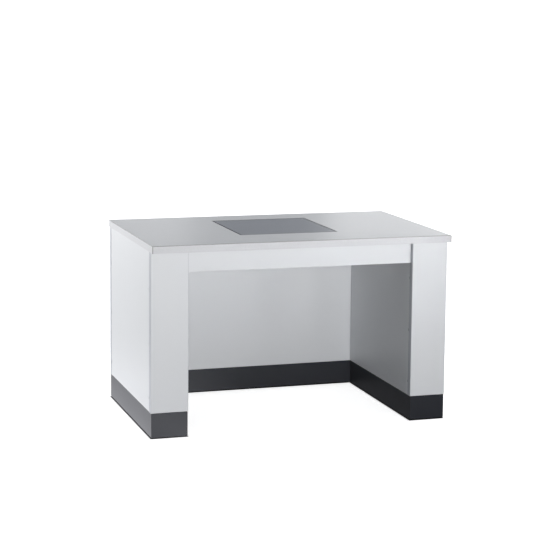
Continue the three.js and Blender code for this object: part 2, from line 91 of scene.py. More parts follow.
lens = bpy.data.cameras.new("camera")
lens.sensor_width = SENSOR_MM
lens.lens = FOCAL_PIXELS / IMAGE_PIXELS * SENSOR_MM
lens.shift_y = (AXIS_ROW - IMAGE_PIXELS / 2) / IMAGE_PIXELS
lens.dof.use_dof = False
lens.clip_end = FARTHEST
camera = bpy.data.objects.new("camera", lens)
camera.matrix_world = Matrix.Translation(EYE) @ Matrix((right, up, -forward)).transposed().to_4x4()
bpy.context.scene.collection.objects.link(camera)
bpy.context.scene.camera = camera
print("lens", round(lens.lens, 1), "mm, shift", round(lens.shift_y, 3))

# %% [markdown]
# ## Small helpers for node trees
# Every finish and every generated shape below is a small tree of nodes. Typing each node, its settings
# and its links in full would hide the idea behind it. So one helper adds a node with its inputs already
# filled or linked: a value that is a socket is linked, and anything else is typed into the input. The
# others are the sums that come back most often: plain arithmetic, a mix of two colours, one range turned
# into another, and a colour on a screen turned into light.

# %% Helpers for nodes
def add(tree, kind, inputs=None, **settings):
    made = tree.nodes.new(kind)
    for name, value in settings.items():
        setattr(made, name, value)
    for name, value in (inputs or {}).items():
        if isinstance(value, bpy.types.NodeSocket):
            tree.links.new(value, made.inputs[name])
        else:
            made.inputs[name].default_value = value
    return made


def calculate(tree, operation, first, second=0.0, third=0.0):
    return add(tree, "ShaderNodeMath", {0: first, 1: second, 2: third}, operation=operation).outputs[0]


def mix_colors(tree, share, first, second):
    """The Mix node keeps a set of sockets for each kind of data, so the colour ones go by number."""
    return add(tree, "ShaderNodeMix", {0: share, 6: first, 7: second}, data_type="RGBA").outputs[2]


def rescale(tree, value, start, end, low=0.0, high=1.0, kind="LINEAR"):
    """Gives low up to start and high from end on, with a ramp between them."""
    return add(tree, "ShaderNodeMapRange", {
        "Value": value, "From Min": start, "From Max": end, "To Min": low, "To Max": high},
        interpolation_type=kind).outputs["Result"]


def linear(red, green, blue):
    """A colour as a screen shows it, 0 to 255, turned into the light it stands for."""
    def light(channel):
        share = channel / 255
        return share / 12.92 if share <= 0.04045 else ((share + 0.055) / 1.055) ** 2.4
    return (light(red), light(green), light(blue), 1.0)


print("a light grey of 226 is", round(linear(226, 226, 226)[0], 3), "of the light")

# %% [markdown]
# ## The floor and its shade
# The photograph shows the table cut out on white, so the floor is white too: a pale diffuse surface with
# some glow of its own. Only right under the legs and the back is it dark, because the plinth strips end
# three millimetres above it, and hardly any light gets into that slit. We could wait for thousands of
# samples to find that shadow. Here the distance from the footprints of the legs and the back, which
# takes a few sums, draws it sharply.

# %% The floor, and the shade in the slit
FLOOR_REACH = 40  # metres from the middle to each edge
SLIT_START, SLIT_END = -0.003, 0.007  # metres from a footprint's edge, for full shade and full light

floor_mesh = bpy.data.meshes.new("floor")
corners = [(x * FLOOR_REACH, y * FLOOR_REACH, 0) for x, y in ((-1, -1), (1, -1), (1, 1), (-1, 1))]
floor_mesh.from_pydata(corners, [], [(0, 1, 2, 3)])
floor = bpy.data.objects.new("floor", floor_mesh)
bpy.context.scene.collection.objects.link(floor)

paint = bpy.data.materials.new("studio_floor")
paint.use_nodes = True
tree = paint.node_tree
tree.nodes.clear()
spot = add(tree, "ShaderNodeTexCoord").outputs["Object"]
place = add(tree, "ShaderNodeSeparateXYZ", {0: spot}).outputs


def outside(tree, value, low, high):
    """How far a value lies outside a range: less than 0 within it."""
    from_middle = calculate(tree, "ABSOLUTE", calculate(tree, "SUBTRACT", value, (low + high) / 2))
    return calculate(tree, "SUBTRACT", from_middle, (high - low) / 2)


def outside_box(tree, place, low, high):
    """The table is alike on both sides, so the distance sideways is taken from its middle plane."""
    beside = outside(tree, calculate(tree, "ABSOLUTE", place["X"]), low.x, high.x)
    return calculate(tree, "MAXIMUM", beside, outside(tree, place["Y"], low.y, high.y))


leg_low, leg_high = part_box("front_pillar_right")
leg_high.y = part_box("rear_pillar_right")[1].y
back_low, back_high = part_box("back_panel")
back_low.x, back_high.y = 0, leg_high.y
away = calculate(tree, "MINIMUM", outside_box(tree, place, leg_low, leg_high),
                 outside_box(tree, place, back_low, back_high))
lit = rescale(tree, away, SLIT_START, SLIT_END, kind="SMOOTHSTEP")
print("floor", 2 * FLOOR_REACH, "m wide, each leg's footprint",
      round(leg_high.x - leg_low.x, 3), "by", round(leg_high.y - leg_low.y, 3), "m")

# %% [markdown]
# ## How white the floor is
# A lit floor alone would come out grey. So it glows too: less near the table, where the soft boxes light
# it well, and more further out, until it meets the white behind it without an edge. A faint grain keeps
# it from being one flat colour.

# %% The floor as the camera sees it
FADE_START, FADE_END = 0.7, 2.4  # metres from the middle of the table
GLOW_NEAR, GLOW_FAR = 0.78, 1.02  # strength of the floor's own glow at those distances

grain = add(tree, "ShaderNodeTexNoise", {"Vector": spot, "Scale": 3.0, "Detail": 4.0})
pale = mix_colors(tree, grain.outputs["Fac"], linear(244, 244, 244), linear(248, 248, 248))
shown = add(tree, "ShaderNodeBsdfDiffuse", {"Color": mix_colors(tree, lit, linear(30, 30, 32), pale)})
distance = add(tree, "ShaderNodeVectorMath", {0: spot}, operation="LENGTH").outputs["Value"]
fade = rescale(tree, distance, FADE_START, FADE_END, GLOW_NEAR, GLOW_FAR, kind="SMOOTHSTEP")
glow = add(tree, "ShaderNodeEmission", {"Strength": calculate(tree, "MULTIPLY", fade, lit)})
seen = add(tree, "ShaderNodeAddShader", {0: shown.outputs[0], 1: glow.outputs[0]})
print("glow of the floor:", GLOW_NEAR, "up to", FADE_START, "m and", GLOW_FAR, "from", FADE_END, "m")

# %% [markdown]
# ## The floor, as the table mirrors it
# In the photograph the plinth strips at the front left shine, and those at the right are nearly black.
# They are the same strips, so they mirror different things: a bright floor on the left and a dark studio
# on the right. That can't be had from one even floor. So the floor has a second look, for rays that come
# off a glossy face: a strip of glow that changes from left to right and fades with distance. All other
# rays find a dull floor, as a bright one would light the knee space from below, which is dark in the
# photograph.

# %% The floor as the table mirrors it
GLOW_REACH = 1.5  # metres to each side that the strip of glow covers
FLOOR_GLOW = {  # metres to the right of the middle: level of the glow
    -0.9: 0.84, -0.68: 0.88, -0.46: 1.6, -0.3: 0.9, 0.0: 0.07, 0.25: 0.085, 0.44: 0.125, 0.47: 0.0}
GLOW_TINT = (0.985, 0.99, 1.04)
MIRROR_START, MIRROR_END = 0.8, 1.9  # metres from the middle, between which the strip fades away
FAR_GLOW = 0.12
DULL = 0.03  # share of the light that the dull floor gives back

across = rescale(tree, place["X"], -GLOW_REACH, GLOW_REACH)
ramp = add(tree, "ShaderNodeValToRGB", {"Fac": across})
for x, level in FLOOR_GLOW.items():
    stop = ramp.color_ramp.elements.new((x / GLOW_REACH + 1) / 2)
    stop.color = (*(tint * level for tint in GLOW_TINT), 1)
stops = ramp.color_ramp.elements
stops[0].color, stops[-1].color = tuple(stops[1].color), tuple(stops[-2].color)
near_to_far = rescale(tree, distance, MIRROR_START, MIRROR_END, kind="SMOOTHSTEP")
level = mix_colors(tree, near_to_far, ramp.outputs["Color"], (FAR_GLOW, FAR_GLOW, FAR_GLOW, 1))
path = add(tree, "ShaderNodeLightPath")
mirrored = add(tree, "ShaderNodeEmission", {"Color": level, "Strength": path.outputs["Is Glossy Ray"]})
dull = add(tree, "ShaderNodeBsdfDiffuse", {"Color": (DULL, DULL, DULL, 1)})
bounced = add(tree, "ShaderNodeAddShader", {0: dull.outputs[0], 1: mirrored.outputs[0]})
floor_look = add(tree, "ShaderNodeMixShader", {
    0: path.outputs["Is Camera Ray"], 1: bounced.outputs[0], 2: seen.outputs[0]})
add(tree, "ShaderNodeOutputMaterial", {"Surface": floor_look.outputs[0]})
floor_mesh.materials.append(paint)
print("levels of mirrored glow, from left to right:", list(FLOOR_GLOW.values()))

# %% [markdown]
# ## The white all round
# A photograph cut out on white has no room in it, so the camera finds plain white behind the table. The
# table itself finds a much weaker white all round, a trace cooler, which only keeps its shades from going
# black. The Light Path node tells the two kinds of ray apart.

# %% The white all round
BACKDROP_WHITE, AROUND_LIGHT = 1.05, 0.3

world = bpy.data.worlds.new("studio")
world.use_nodes = True
tree = world.node_tree
tree.nodes.clear()
behind = add(tree, "ShaderNodeBackground", {"Color": (1, 1, 1, 1), "Strength": BACKDROP_WHITE})
around = add(tree, "ShaderNodeBackground", {"Color": linear(250, 252, 255), "Strength": AROUND_LIGHT})
path = add(tree, "ShaderNodeLightPath")
sky = add(tree, "ShaderNodeMixShader", {
    0: path.outputs["Is Camera Ray"], 1: around.outputs[0], 2: behind.outputs[0]})
add(tree, "ShaderNodeOutputWorld", {"Surface": sky.outputs[0]})
bpy.context.scene.world = world
print("white behind the table", BACKDROP_WHITE, "and light from all round", AROUND_LIGHT)

# %% [markdown]
# ## Soft boxes
# The shades on the table tell how it was lit. The outer left side is the brightest upright face, the
# front is nearly as bright, and the inside of the right leg is dark, because the left leg stands in its
# light. So big soft boxes stand on the left, one fills from the front, one hangs above, and a weak one
# keeps the right side readable. Their strengths were found by measuring each box alone on some sixty
# points of the table, and adding them up until the greys agreed with the photograph. Three boxes far
# behind are mirrored in the worktop at its flat angle, where it brightens to the right. Three with
# grids, which keep their light in a narrow beam, graze only the front edge. In the photograph the back
# panel is as bright on the right as on the left, because a real floor and real walls pass light on. Our
# floor is dull for that, so a very weak lamp under the worktop, out of view, stands for this bounced
# light.

# %% The soft boxes
NO_GRID = 180


def soft_box(name, place, aim, wide, high, watts, spread=NO_GRID):
    """A spread below 180 degrees stands for a grid on the box, which keeps its light in a beam."""
    light = bpy.data.lights.new(name, "AREA")
    light.shape = "RECTANGLE"
    light.size, light.size_y, light.energy = wide, high, watts
    light.spread = radians(spread)
    lamp = bpy.data.objects.new(name, light)
    lamp.location = place
    lamp.rotation_euler = (Vector(aim) - Vector(place)).to_track_quat("-Z", "Y").to_euler()
    lamp.visible_camera = False
    bpy.context.scene.collection.objects.link(lamp)


WORKTOP = (0.2, 0.0, 0.7)
soft_box("left", (-3.8, 0.7, 1.2), (-0.5, 0.1, 0.4), 2.8, 2.4, 64)
soft_box("left_back", (-2.6, 4.4, 1.2), (-0.4, 0.0, 0.4), 2.0, 2.0, 46)
soft_box("left_low", (-3.6, 1.2, 0.35), (-0.5, 0.0, 0.2), 2.6, 0.6, 40)
soft_box("front", (-0.5, -5.6, 0.8), (0.0, 0.0, 0.4), 2.2, 1.6, 149)
soft_box("above", (0.4, 0.6, 3.6), (0.0, 0.0, 0.7), 3.4, 3.0, 77)
soft_box("right_fill", (4.2, 0.8, 1.3), (0.5, 0.0, 0.4), 2.4, 2.0, 24)
soft_box("behind_left", (1.4, 8.0, 1.4), WORKTOP, 0.8, 2.4, 3.9)
soft_box("behind_middle", (3.65, 8.0, 1.4), WORKTOP, 1.1, 2.4, 10.8)
soft_box("behind_right", (4.9, 8.0, 1.4), WORKTOP, 1.4, 2.4, 16.3)
soft_box("beam_left", (-0.8, -5.6, 1.0), (-0.4, -0.34, 1.1), 0.8, 0.8, 0.7, spread=24)
soft_box("beam_middle", (1.8, -5.4, 1.0), (0.5, -0.34, 1.15), 0.8, 0.8, 1.0, spread=22)
soft_box("beam_right", (3.2, -4.6, 1.0), (0.5, -0.34, 1.15), 0.8, 0.8, 1.4, spread=22)
soft_box("under_worktop", (0.34, -0.26, 0.6), (0.35, 0.33, 0.47), 0.16, 0.04, 0.036, spread=60)
bpy.context.scene.view_settings.view_transform = "Standard"
watts = sum(light.energy for light in bpy.data.lights)
print("soft boxes:", len(bpy.data.lights), "giving", round(watts), "W in all")

# %% [markdown]
# ## Effects that several finishes share
# The panels are sprayed with dry powder and baked. The paint flows, but not quite flat: it keeps a fine
# waviness that painters call orange peel, a few millimetres from crest to crest. Thin sheet is never
# quite flat either, so long soft waves lie under it and make reflections wander. One group gives both as
# a height for the Bump node, and a second one lets any colour drift a little from place to place, as
# every real surface does. Both work on Object coordinates, in metres, so that the pattern has its real
# scale on a long apron and a short plinth alike. A helper opens each tree with its named sockets.

# %% The orange peel group and the tone group
FLOAT, COLOR = "NodeSocketFloat", "NodeSocketColor"
PEEL_SCALE = 380.0


def open_tree(kind, name, inputs, outputs):
    """inputs is {name: (socket type, value)} and outputs is {name: socket type}."""
    tree = bpy.data.node_groups.new(name, kind)
    for socket, (socket_type, value) in inputs.items():
        made = tree.interface.new_socket(name=socket, in_out="INPUT", socket_type=socket_type)
        if value is not None:
            made.default_value = value
    for socket, socket_type in outputs.items():
        tree.interface.new_socket(name=socket, in_out="OUTPUT", socket_type=socket_type)
    return tree, tree.nodes.new("NodeGroupInput").outputs, tree.nodes.new("NodeGroupOutput").inputs


orange_peel, given, result = open_tree(
    "ShaderNodeTree", "Orange peel on sheet",
    {"Peel scale": (FLOAT, PEEL_SCALE), "Peel height": (FLOAT, 0.25),
     "Sheet scale": (FLOAT, 3.0), "Sheet height": (FLOAT, 1.0)},
    {"Height": FLOAT})
place = add(orange_peel, "ShaderNodeTexCoord").outputs["Object"]
peel = add(orange_peel, "ShaderNodeTexNoise", {
    "Vector": place, "Scale": given["Peel scale"], "Detail": 1.5})
sheet = add(orange_peel, "ShaderNodeTexNoise", {
    "Vector": place, "Scale": given["Sheet scale"], "Detail": 0.0})
fine = calculate(orange_peel, "MULTIPLY", peel.outputs["Fac"], given["Peel height"])
total = calculate(orange_peel, "MULTIPLY_ADD", sheet.outputs["Fac"], given["Sheet height"], fine)
orange_peel.links.new(total, result["Height"])

tone_drift, given, result = open_tree(
    "ShaderNodeTree", "Drift of tone",
    {"Color": (COLOR, (0.8, 0.8, 0.8, 1)), "Scale": (FLOAT, 4.0), "Amount": (FLOAT, 0.03)},
    {"Color": COLOR, "Mask": FLOAT})
place = add(tone_drift, "ShaderNodeTexCoord").outputs["Object"]
cloud = add(tone_drift, "ShaderNodeTexNoise", {"Vector": place, "Scale": given["Scale"], "Detail": 5.0})
centred = calculate(tone_drift, "SUBTRACT", cloud.outputs["Fac"], 0.5)
factor = calculate(tone_drift, "MULTIPLY_ADD", centred, given["Amount"], 1.0)
scaled = add(tone_drift, "ShaderNodeVectorMath", {
    0: given["Color"], "Scale": factor}, operation="SCALE")
tone_drift.links.new(scaled.outputs["Vector"], result["Color"])
tone_drift.links.new(cloud.outputs["Fac"], result["Mask"])
print("groups:", orange_peel.name, "and", tone_drift.name)

# %% [markdown]
# ## Starting a finish
# A finish starts as a plain shader, with its gloss set on its own sockets. Groups are placed in it with
# values of their own, and a Bump node turns a height into relief. Some finishes also change with the way
# a face points, so one helper measures that.

# %% Helpers for finishes
def place_group(tree, group, **inputs):
    values = {name.replace("_", " "): value for name, value in inputs.items()}
    return add(tree, "ShaderNodeGroup", values, node_tree=group).outputs


def new_finish(name, roughness, metallic=0.0):
    """A material with only its shader and output. The constants sit on the shader's own sockets."""
    finish = bpy.data.materials.new(name)
    finish.use_nodes = True
    tree = finish.node_tree
    tree.nodes.clear()
    shader = add(tree, "ShaderNodeBsdfPrincipled", {"Roughness": roughness, "Metallic": metallic})
    add(tree, "ShaderNodeOutputMaterial", {"Surface": shader.outputs[0]})
    return finish, tree, shader


def emboss(tree, shader, height, strength, distance):
    bump = add(tree, "ShaderNodeBump", {"Height": height, "Strength": strength, "Distance": distance})
    tree.links.new(bump.outputs["Normal"], shader.inputs["Normal"])


def facing_axis(tree, axis):
    """1 where a face looks straight along the axis, either way, and 0 where it lies along it."""
    normal = add(tree, "ShaderNodeNewGeometry").outputs["Normal"]
    return calculate(tree, "ABSOLUTE", add(tree, "ShaderNodeSeparateXYZ", {0: normal}).outputs[axis])


print("helpers for finishes: groups, shader, relief and the way a face points")

# %% [markdown]
# ## Powder-coated sheet
# All the coats are made in one way and differ only in colour, gloss and grain, so one helper makes them.
# The photograph shows a narrow blue-grey line down each end of the side panel, and the same beside the
# right cheek. Those are the side folds of the pillars. They lie a little deeper than the panels and look
# darker, in their shade. The solids have them flush, so the pillars get a coat of their own with painted
# shade: a darker colour wherever a face points sideways.

# %% Coated sheet
def coated_sheet(name, color, roughness, drift, peel_scale=PEEL_SCALE, side_fold_shade=None):
    finish, tree, shader = new_finish(name, roughness)
    if side_fold_shade:
        # painted shade: a darker colour on faces that point sideways, the pillars' side folds
        color = mix_colors(tree, facing_axis(tree, "X"), color, side_fold_shade)
    tone = place_group(tree, tone_drift, Color=color, Scale=2.2, Amount=drift)
    tree.links.new(tone["Color"], shader.inputs["Base Color"])
    waves = place_group(tree, orange_peel, Peel_scale=peel_scale, Peel_height=0.06, Sheet_height=1.0)
    emboss(tree, shader, waves["Height"], strength=0.6, distance=0.0022)
    return finish


# the second colour is painted shade for the pillars' side folds
LIGHT_GREY, PAINTED_FOLD_SHADE = linear(226, 228, 231), linear(190, 192, 199)
panel_coat = coated_sheet("panel_coat", LIGHT_GREY, roughness=0.38, drift=0.02)
pillar_coat = coated_sheet("pillar_coat", LIGHT_GREY, roughness=0.38, drift=0.02, side_fold_shade=PAINTED_FOLD_SHADE)
plinth_coat = coated_sheet("plinth_coat", linear(44, 46, 52), roughness=0.32, drift=0.05, peel_scale=460.0)
frame_coat = coated_sheet("frame_coat", linear(122, 126, 131), roughness=0.42, drift=0.08)
print("coated sheet:", panel_coat.name, pillar_coat.name, plinth_coat.name, frame_coat.name)

# %% [markdown]
# ## Surfaces with flecks
# Printed laminate, moulded plastic, stone, rubber, felt and chipboard have one thing in common: flecks
# of a second tone, fine or coarse, sharp or soft. So one group draws flecks, and one helper makes a whole
# finish of them, with the flecks slightly in relief.

# %% The speckle group
speckle, given, result = open_tree(
    "ShaderNodeTree", "Fine speckle",
    {"Ground": (COLOR, (0.5, 0.5, 0.5, 1)), "Fleck": (COLOR, (0.4, 0.4, 0.4, 1)),
     "Scale": (FLOAT, 900.0), "Share": (FLOAT, 0.4), "Softness": (FLOAT, 0.1)},
    {"Color": COLOR, "Mask": FLOAT})
place = add(speckle, "ShaderNodeTexCoord").outputs["Object"]
dots = add(speckle, "ShaderNodeTexNoise", {
    "Vector": place, "Scale": given["Scale"], "Detail": 2.0, "Roughness": 0.6})
low = calculate(speckle, "SUBTRACT", given["Share"], given["Softness"])
high = calculate(speckle, "ADD", given["Share"], given["Softness"])
mask = rescale(speckle, dots.outputs["Fac"], low, high, 1.0, 0.0, kind="SMOOTHSTEP")
mixed = mix_colors(speckle, mask, given["Ground"], given["Fleck"])
speckle.links.new(mixed, result["Color"])
speckle.links.new(mask, result["Mask"])


def speckled(name, roughness, ground, fleck, scale, share, softness, relief, depth, drift=None):
    """relief and depth are the Bump node's strength and distance, and drift is (scale, amount)."""
    finish, tree, shader = new_finish(name, roughness)
    dots = place_group(tree, speckle, Ground=linear(*ground), Fleck=linear(*fleck), Scale=scale,
                       Share=share, Softness=softness)
    color = dots["Color"]
    if drift:
        color = place_group(tree, tone_drift, Color=color, Scale=drift[0], Amount=drift[1])["Color"]
    tree.links.new(color, shader.inputs["Base Color"])
    emboss(tree, shader, dots["Mask"], relief, depth)
    return finish, tree, shader, color


print("group:", speckle.name, "with", len(speckle.nodes), "nodes")

# %% [markdown]
# ## Plain flecked materials
# Five materials need nothing but flecks. The underside of the worktop has a plain balancing laminate, and
# its chipboard shows flat chips of two browns where it is cut. Rubber and felt scatter light softly, and
# the plastic glides have a fine moulded grain.

# %% Backing laminate, chipboard, rubber, felt and glide plastic
backing_laminate = speckled(
    "backing_laminate", 0.55, (216, 216, 213), (204, 204, 200), scale=700.0, share=0.42, softness=0.1,
    relief=0.1, depth=0.0002)[0]
board_core = speckled(
    "board_core", 0.9, (184, 154, 112), (140, 108, 70), scale=260.0, share=0.48, softness=0.06,
    relief=0.5, depth=0.0006)[0]
rubber = speckled(
    "rubber", 0.8, (34, 35, 37), (52, 53, 55), scale=500.0, share=0.4, softness=0.1,
    relief=0.2, depth=0.0003)[0]
felt = speckled(
    "felt", 0.95, (78, 79, 81), (104, 105, 107), scale=1400.0, share=0.45, softness=0.15,
    relief=0.6, depth=0.0006)[0]
glide_plastic = speckled(
    "glide_plastic", 0.5, (38, 39, 42), (46, 47, 50), scale=800.0, share=0.45, softness=0.1,
    relief=0.15, depth=0.0003)[0]
print("flecked finishes:", backing_laminate.name, board_core.name, rubber.name, felt.name,
      glide_plastic.name)

# %% [markdown]
# ## Worktop laminate and its dark edge
# The top is high-pressure laminate: printed paper under clear resin, pressed on a plate with a faint
# texture. It is built up on brown kraft paper, so a cut edge shows as a dark line, which the photograph
# has along the front of the worktop. We could model that line as a strip. It is simpler, and truer, to
# let the material look at which way a face points: where the normal lies flat, the face is the cut edge,
# so it gets the colour of the core.

# %% Laminate
decor_laminate, tree, shader, printed = speckled(
    "decor_laminate", 0.30, (186, 188, 191), (174, 176, 180), scale=1100.0, share=0.46, softness=0.12,
    relief=0.08, depth=0.00015, drift=(1.6, 0.02))
with_core = mix_colors(tree, facing_axis(tree, "Z"), linear(66, 58, 50), printed)
tree.links.new(with_core, shader.inputs["Base Color"])
print("laminate:", len(tree.nodes), "nodes")

# %% [markdown]
# ## Edge bands
# The bands are plastic strips glued round the board, lighter than the laminate. Where two of them meet at
# a corner, the glue shows as a dark upright line. A gap as thin as paper could be modelled there, but the
# material draws it more simply: it is dark only where a point lies far out both sideways and lengthways.

# %% Bands with their glued corners
BAND_JOINT = 0.0019  # metres that the glue shows from the corner where two bands meet
BLUR = 0.0001  # metres to each side of the glue's edge
edge_band, tree, shader, plastic = speckled(
    "edge_band", 0.42, (214, 215, 218), (204, 205, 209), scale=900.0, share=0.45, softness=0.12,
    relief=0.12, depth=0.0002, drift=(5.0, 0.02))
spot = add(tree, "ShaderNodeSeparateXYZ", {0: add(tree, "ShaderNodeTexCoord").outputs["Object"]}).outputs
table_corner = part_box("worktop_laminate")[1]
sideways, lengthways = (
    calculate(tree, "SUBTRACT", calculate(tree, "ABSOLUTE", spot[axis]), edge - BAND_JOINT)
    for axis, edge in (("X", table_corner.x), ("Y", table_corner.y)))
glued = rescale(tree, calculate(tree, "MINIMUM", sideways, lengthways), -BLUR, BLUR)
tree.links.new(mix_colors(tree, glued, plastic, linear(96, 92, 88)), shader.inputs["Base Color"])
print("a corner of the worktop lies", round(table_corner.x, 4), "m sideways and",
      round(table_corner.y, 4), "m lengthways")

# %% [markdown]
# ## The stone slab
# The slab is a fine blue-grey stone with dark and light grains of a millimetre or two, so it takes the
# speckle group twice, the light grains over the dark ones. Its bevel and its sides are coloured much
# darker than its top, which draws the thin line round the slab.

# %% Stone
TOP_FROM, TOP_TO = 0.8, 0.95  # a bevel faces up by less than the first, the top by more than both
slab_stone, tree, shader = new_finish("slab_stone", 0.34)
dark_grain = place_group(tree, speckle, Ground=linear(119, 123, 131), Fleck=linear(92, 96, 105),
                         Scale=620.0, Share=0.44, Softness=0.07)
light_grain = place_group(tree, speckle, Ground=dark_grain["Color"], Fleck=linear(156, 160, 168),
                          Scale=760.0, Share=0.36, Softness=0.05)
tone = place_group(tree, tone_drift, Color=light_grain["Color"], Scale=9.0, Amount=0.06)
top_share = rescale(tree, facing_axis(tree, "Z"), TOP_FROM, TOP_TO)
# the bevel and the sides, which face up less than the top, take a much darker colour
stone = mix_colors(tree, top_share, linear(44, 46, 52), tone["Color"])
tree.links.new(stone, shader.inputs["Base Color"])
emboss(tree, shader, dark_grain["Mask"], strength=0.10, distance=0.0002)
print("stone:", len(tree.nodes), "nodes")

# %% [markdown]
# ## Zinc, plated and hot-dipped
# Zinc comes in two ways: plated on spindles, nuts and bolts, even and bright, and hot-dipped on the tray,
# where it freezes into crystals as wide as a fingernail. Cells of a Voronoi texture stand for the
# crystals, each with a shade and a gloss of its own.

# %% Zinc
zinc_steel, tree, shader = new_finish("zinc_steel", 0.32, metallic=1.0)
tone = place_group(tree, tone_drift, Color=linear(196, 199, 204), Scale=60.0, Amount=0.12)
tree.links.new(tone["Color"], shader.inputs["Base Color"])
tree.links.new(rescale(tree, tone["Mask"], 0.0, 1.0, 0.24, 0.42), shader.inputs["Roughness"])

tray_zinc, tree, shader = new_finish("tray_zinc", 0.4, metallic=0.9)
place = add(tree, "ShaderNodeTexCoord").outputs["Object"]
crystals = add(tree, "ShaderNodeTexVoronoi", {
    "Vector": place, "Scale": 90.0, "Randomness": 0.9}).outputs["Color"]
spangle = mix_colors(tree, rescale(tree, crystals, 0.0, 1.0), linear(150, 154, 160), linear(192, 196, 202))
tree.links.new(spangle, shader.inputs["Base Color"])
tree.links.new(rescale(tree, crystals, 0.0, 1.0, 0.3, 0.55), shader.inputs["Roughness"])
print("metals:", zinc_steel.name, "and", tray_zinc.name)

# %% [markdown]
# ## Giving each solid its finish
# The record that came with the solids says which finish each one has, so no list is typed again here:
# each solid takes the material of the same name. Only the pillars, which the record files under the
# coat of all panels, take the one with painted shade on their side folds.

# %% Assign the finishes
FINISHES = {finish.name: finish for finish in (
    panel_coat, pillar_coat, plinth_coat, frame_coat, decor_laminate, backing_laminate, edge_band,
    board_core, slab_stone, zinc_steel, tray_zinc, rubber, felt, glide_plastic)}
for part in frame["record"]["subparts"]:
    # the pillars' coat carries painted shade on their side folds
    wanted = "pillar_coat" if "pillar" in part["node"] else part["material_slot"]
    for slot in frame["nodes"][part["node"]].material_slots:
        slot.material = FINISHES[wanted]

# %% [markdown]
# ## Turned pieces: feet, soles and nuts
# The feet stand out of sight under the legs, but anyone who tips the table sees them first. Their solids
# are coarse, so these pieces are made again with a finer surface. All of them are turned on a lathe, so
# one helper is enough. It takes rings from bottom to top, each with a height and a radius, where a radius
# may also be a rule that gives one for each angle. Rings are written in millimetres, as on a drawing.

# %% A lathe
import bmesh

MM = 0.001
SMOOTH_BELOW = 35  # degrees between two faces, up to which their edge is drawn smooth


def lathe(name, rings, centre, finish, sides=48, bored=False):
    """Rings are (height, radius) in millimetres. A bored piece closes on itself, others end in poles."""
    mesh = bmesh.new()
    x, y = centre
    loops = []
    for height, radius in rings:
        loop = []
        for step in range(sides):
            angle = 2 * pi * step / sides
            reach = MM * (radius(angle) if callable(radius) else radius)
            loop.append(mesh.verts.new((x + reach * cos(angle), y + reach * sin(angle), height * MM)))
        loops.append(loop)
    pairs = list(zip(loops, loops[1:] + loops[:1] if bored else loops[1:]))
    for lower, upper in pairs:
        for step in range(sides):
            after = (step + 1) % sides
            mesh.faces.new((lower[step], lower[after], upper[after], upper[step]))
    if not bored:
        for loop, height in ((loops[0], rings[0][0]), (loops[-1], rings[-1][0])):
            pole = mesh.verts.new((x, y, height * MM))
            for step in range(sides):
                mesh.faces.new((loop[step], loop[(step + 1) % sides], pole))
    bmesh.ops.recalc_face_normals(mesh, faces=mesh.faces)
    return keep_piece(name, mesh, finish)


def keep_piece(name, mesh, finish):
    data = bpy.data.meshes.new(name)
    mesh.to_mesh(data)
    mesh.free()
    data.shade_smooth()
    data.set_sharp_from_angle(angle=radians(SMOOTH_BELOW))
    data.materials.append(finish)
    piece = bpy.data.objects.new(name, data)
    bpy.context.scene.collection.objects.link(piece)
    return piece


print("a turned edge is drawn smooth up to", SMOOTH_BELOW, "degrees")

# %% [markdown]
# ## A hexagon on the lathe
# A hexagon is turned too: it is a bar whose radius changes round the circle. The chamfer that every nut
# has comes by itself, when the rule takes the smaller of the hexagon and a cone.

# %% The rule for a hexagon
def hexagon(across, cone=None):
    """The radius of a hexagon, by angle, no larger than the cone's."""
    def radius(angle):
        flat = across / 2 / cos((angle + pi / 6) % (pi / 3) - pi / 6)
        return flat if cone is None else min(flat, cone)
    return radius


print("a 22 mm hexagon reaches", round(hexagon(22)(pi / 6), 2), "mm at its corners")

# %% [markdown]
# ## Trees that grow shapes
# Threads, weld beads and screws repeat or follow a path, which is what Geometry Nodes are for. All the
# trees start and end alike, so helpers do both: one opens a tree with named inputs, and one closes it
# with real geometry, smooth faces and the finish. A last one runs a tree, keeps the result as a plain
# mesh and throws the modifier away, so that the finished table has plain meshes alone.

# %% Helpers for shape trees
GEOMETRY, VECTOR = "NodeSocketGeometry", "NodeSocketVector"
COUNT, MATERIAL = "NodeSocketInt", "NodeSocketMaterial"


def open_shape(name, inputs):
    return open_tree("GeometryNodeTree", name, inputs, {"Geometry": GEOMETRY})


def close_shape(tree, geometry, finish, result):
    real = add(tree, "GeometryNodeRealizeInstances", {0: geometry}).outputs[0]
    smooth = add(tree, "GeometryNodeSetShadeSmooth", {"Geometry": real}).outputs[0]
    painted = add(tree, "GeometryNodeSetMaterial", {"Geometry": smooth, "Material": finish}).outputs[0]
    tree.links.new(painted, result["Geometry"])


def lift(tree, geometry, height):
    up_by = add(tree, "ShaderNodeCombineXYZ", {"Z": height}).outputs[0]
    return add(tree, "GeometryNodeTransform", {"Geometry": geometry, "Translation": up_by}).outputs[0]


def grow(name, tree, values, base=None):
    """base is the mesh that the tree starts from, where it needs one."""
    seed = bpy.data.objects.new(name + "_seed", base or bpy.data.meshes.new(name + "_seed"))
    bpy.context.scene.collection.objects.link(seed)
    modifier = seed.modifiers.new("shape", "NODES")
    modifier.node_group = tree
    sockets = {item.name: item.identifier for item in tree.interface.items_tree if item.in_out == "INPUT"}
    for socket, value in values.items():
        modifier[sockets[socket]] = value
    bpy.context.view_layer.update()
    ready = seed.evaluated_get(bpy.context.evaluated_depsgraph_get())
    piece = bpy.data.objects.new(name, bpy.data.meshes.new_from_object(ready))
    piece.data.name = name
    seed.modifiers.remove(modifier)
    bpy.data.objects.remove(seed)
    bpy.context.scene.collection.objects.link(piece)
    return piece


print("helpers for shape trees: open, close, lift and grow")

# %% [markdown]
# ## A thread that follows a spiral
# A thread is a ridge that climbs round a rod: a path and a section. The tree draws a spiral, gives it a
# fixed upright normal so that the ridge can't twist, and sweeps a small four-sided section along it. It
# is joined to a rod of the core's radius. Pitch, depth, radius and length are inputs, so one tree cuts
# both the fine thread of the casing's feet and the coarse one of the stand's.

